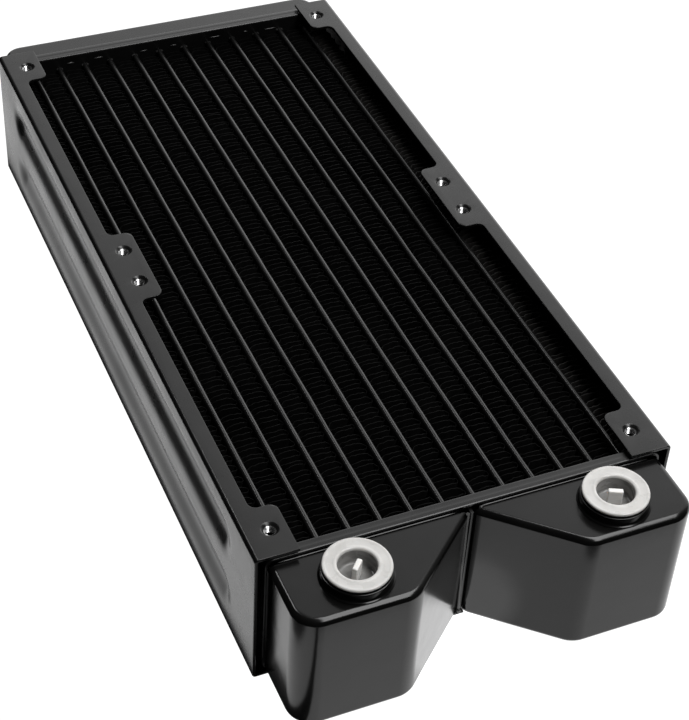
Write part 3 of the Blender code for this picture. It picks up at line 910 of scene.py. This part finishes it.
def port_boss(name, side):
    """Turned boss: neck through the tank's top, fillet ring, wall and seat."""
    shape = Shape()
    low, high = BOSS_LOW.z, BOSS_HIGH.z
    bore, wall, neck = BOSS_BORE_R, BOSS_WALL_R, BOSS_NECK_R
    seat = TANK_TOP + 0.04
    profile = [
        (bore, low), (bore, high - 0.5), (bore + 0.5, high), (wall - 0.3, high), (wall - 0.08, high - 0.08),
        (wall, high - 0.3), (wall, seat + 0.75), (wall + 0.06, seat + 0.5), (wall + 0.2, seat + 0.36),
        (wall + 0.36, seat + 0.3), (wall + 0.47, seat + 0.2), (wall + 0.5, seat + 0.08),
        (wall + 0.48, seat), (neck, seat), (neck, low),
    ]
    lathe(shape, profile, (side * PORT_X, PORT_Y), 0, True)
    return piece(name + "_turned", shape, (GLOSS,), (name,))


def thread_radius(radius, z, share):
    """Saw a helical thread into the shank below the flange."""
    if abs(radius - SHANK_R) > 0.25 or z > PLUG_HIGH.z - PLUG_FLANGE_H - 0.6:
        return radius
    turn = (z / PORT_PITCH - share) % 1.0
    return radius - PORT_THREAD_DEPTH * abs(2.0 * turn - 1.0)


def port_plug(name, side, body, turn):
    """Screw plug: threaded shank, wide flange, raised lip and a cup with an upright grip."""
    shape = Shape()
    centre = (side * PORT_X, PORT_Y)
    low, high = PLUG_LOW.z, PLUG_HIGH.z
    under = high - PLUG_FLANGE_H
    shank = [(0.02, low), (5.3, low), (5.6, low + 0.25)]
    shank += [(SHANK_R, z) for z in spread(low + 0.5, under - 0.35, SHANK_STEP)]
    shank += [(SHANK_GROOVE_R, under - 0.3), (SHANK_GROOVE_R, under)]
    flange = [
        (8.6, under), (8.86, under + 0.1), (9.0, under + 0.32), (9.0, high - 0.36),
        (8.92, high - 0.16), (8.72, high - 0.03), (8.5, high), (8.2, high - 0.04),
        (7.9, high - 0.13), (6.5, high - 0.15), (6.15, high - 0.08), (5.85, high - 0.01),
        (5.55, high - 0.03), (5.3, high - 0.16), (5.16, high - 0.4),
    ]
    deep = CUP_FLOOR_Z
    cup = [(5.1, high - 0.8), (5.02, deep + 0.7), (4.9, deep + 0.3), (4.6, deep + 0.08), (4.2, deep)]
    cup += [(3.0, deep), (0.02, deep)]
    rings = lathe(shape, shank + flange + cup, centre, 0, False, thread_radius)
    shape.bm.faces.new(rings[0])
    shape.bm.faces.new(rings[-1])
    cup_start = len(shank) + len(flange)
    # the cup's inside takes the darker copy of the plastic: painted shade
    inside = {vert for ring in rings[cup_start:] for vert in ring}
    for face in shape.bm.faces:
        if all(vert in inside for vert in face.verts):
            face.material_index = 1
    piece(name + "_moulded", shape, (PLUG, PLUG_CUP_SHADED), (name,), body)

    grip = Shape()
    length, thick = GRIP_SIZE
    grip_low = (-0.5 * length, -0.5 * thick, deep - GRIP_ROOT)
    grip_high = (0.5 * length, 0.5 * thick, high - GRIP_DROP)
    blunt_box(grip, grip_low, grip_high, GRIP_EDGE_R)
    spin = Matrix.Translation((centre[0], centre[1], 0.0)) @ Matrix.Rotation(math.radians(turn), 4, "Z")
    bmesh.ops.transform(grip.bm, matrix=spin, verts=grip.bm.verts)
    # the grip takes the lighter copy of the plastic: painted light
    piece(name + "_grip", grip, (PLUG_GRIP_LIT,), (), body)


# ---------------------------------------------------------------- stage


def area_light(name, place, aim, size, power):
    data = bpy.data.lights.new(name, "AREA")
    data.shape = "RECTANGLE"
    data.size, data.size_y = size
    data.energy = power
    made = bpy.data.objects.new(name, data)
    made.location = place
    made.rotation_euler = (Vector(aim) - Vector(place)).to_track_quat("-Z", "Y").to_euler()
    bpy.context.scene.collection.objects.link(made)


def floor():
    """Pale light table under the object, in two parts with the unlit slot between them; round a point
    between the port tanks it glows brighter, a painted pool of light.
    """
    made, nodes, links, shader = shader_material("pale_floor")
    shade = noise_node(nodes, links, 6.0, 2.0)
    colour = ramp(nodes, links, shade.outputs["Fac"], ((0.2, grey(0.08)), (0.8, grey(0.1))))
    links.new(colour, shader.inputs["Base Color"])
    shader.inputs["Roughness"].default_value = 0.9
    shader.inputs["Specular IOR Level"].default_value = 0.1
    shader.inputs["Emission Color"].default_value = (1.0, 1.0, 1.0, 1.0)
    place = nodes.new("ShaderNodeTexCoord")
    away = nodes.new("ShaderNodeVectorMath")
    away.operation = "DISTANCE"
    away.inputs[1].default_value = LIGHT_POOL_AT
    links.new(place.outputs["Object"], away.inputs[0])
    # painted pool of light: the glow strength rises towards the point between the port tanks
    strength = span(nodes, links, away.outputs["Value"], LIGHT_POOL_GLOW, TABLE_GLOW, *LIGHT_POOL_R)
    links.new(strength, shader.inputs["Emission Strength"])
    bm = bmesh.new()
    columns, rows = TABLE_SEGMENTS
    for low, high in ((TABLE_X[0], TABLE_SLOT_X[0]), (TABLE_SLOT_X[1], TABLE_X[1])):
        patch = bmesh.ops.create_grid(bm, x_segments=columns, y_segments=rows, size=0.5)
        for vert in patch["verts"]:
            vert.co.x = low + (high - low) * (vert.co.x + 0.5)
            vert.co.y = TABLE_Y[0] + (TABLE_Y[1] - TABLE_Y[0]) * (vert.co.y + 0.5)
    mesh = bpy.data.meshes.new("floor")
    bm.to_mesh(mesh)
    bm.free()
    mesh.materials.append(made)
    plane = bpy.data.objects.new("floor", mesh)
    plane.location = (0.0, 0.0, -TABLE_DROP)
    bpy.context.scene.collection.objects.link(plane)


def world():
    """Pale backdrop; what the paint reflects is a dark room with a soft glow behind the object."""
    made = bpy.data.worlds.new("studio")
    made.use_nodes = True
    nodes, links = made.node_tree.nodes, made.node_tree.links
    background = nodes["Background"]
    place = nodes.new("ShaderNodeTexCoord")
    toward = nodes.new("ShaderNodeVectorMath")
    toward.operation = "DOT_PRODUCT"
    toward.inputs[1].default_value = Vector(GLOW_FROM).normalized()
    links.new(place.outputs["Generated"], toward.inputs[0])
    glow = ramp(nodes, links, toward.outputs["Value"], GLOW_STOPS)
    path = nodes.new("ShaderNodeLightPath")
    mix = nodes.new("ShaderNodeMix")
    mix.data_type = "RGBA"
    mix.inputs["B"].default_value = BACKDROP
    links.new(glow, mix.inputs["A"])
    links.new(path.outputs["Is Camera Ray"], mix.inputs["Factor"])
    links.new(mix.outputs["Result"], background.inputs["Color"])
    bpy.context.scene.world = made


def camera():
    data = bpy.data.cameras.new("camera")
    data.lens = CAMERA_LENS
    data.sensor_width = CAMERA_SENSOR
    data.clip_start, data.clip_end = CAMERA_CLIP
    made = bpy.data.objects.new("camera", data)
    made.location = CAMERA_AT
    made.rotation_euler = [math.radians(angle) for angle in CAMERA_TURN]
    bpy.context.scene.collection.objects.link(made)
    bpy.context.scene.camera = made


def build():
    side_panel("left_side_panel", -1.0)
    side_panel("right_side_panel", 1.0)
    header_plate("near_header_plate", NEAR_LOW, NEAR_HIGH, -1.0)
    header_plate("far_header_plate", FAR_LOW, FAR_HIGH, 1.0)
    for number in range(1, TUBE_COUNT + 1):
        flat_tube(number)
    for number in range(1, FIN_COUNT + 1):
        fin_strip(number)
    solder_fillets("near_solder", NEAR_HIGH.y, -1.0)
    solder_fillets("far_solder", FAR_LOW.y, 1.0)
    port_tank("left_tank", -1.0)
    port_tank("right_tank", 1.0)
    return_tank()
    tank_rim("left_tank_rim", *LEFT_RIM_X)
    tank_rim("right_tank_rim", *RIGHT_RIM_X)
    divider_seam()
    frame["nodes"]["tank_divider"].data.materials.clear()
    frame["nodes"]["tank_divider"].data.materials.append(POWDER)
    port_boss("left_port_boss", -1.0)
    port_boss("right_port_boss", 1.0)
    port_plug("left_port_plug", -1.0, "left_plug", LEFT_PLUG_TURN)
    port_plug("right_port_plug", 1.0, "right_plug", RIGHT_PLUG_TURN)


build()
floor()
world()
area_light("overhead", *OVERHEAD)
area_light("edge_strip", *EDGE_STRIP)
camera()
bpy.context.scene.view_settings.view_transform = "Standard"
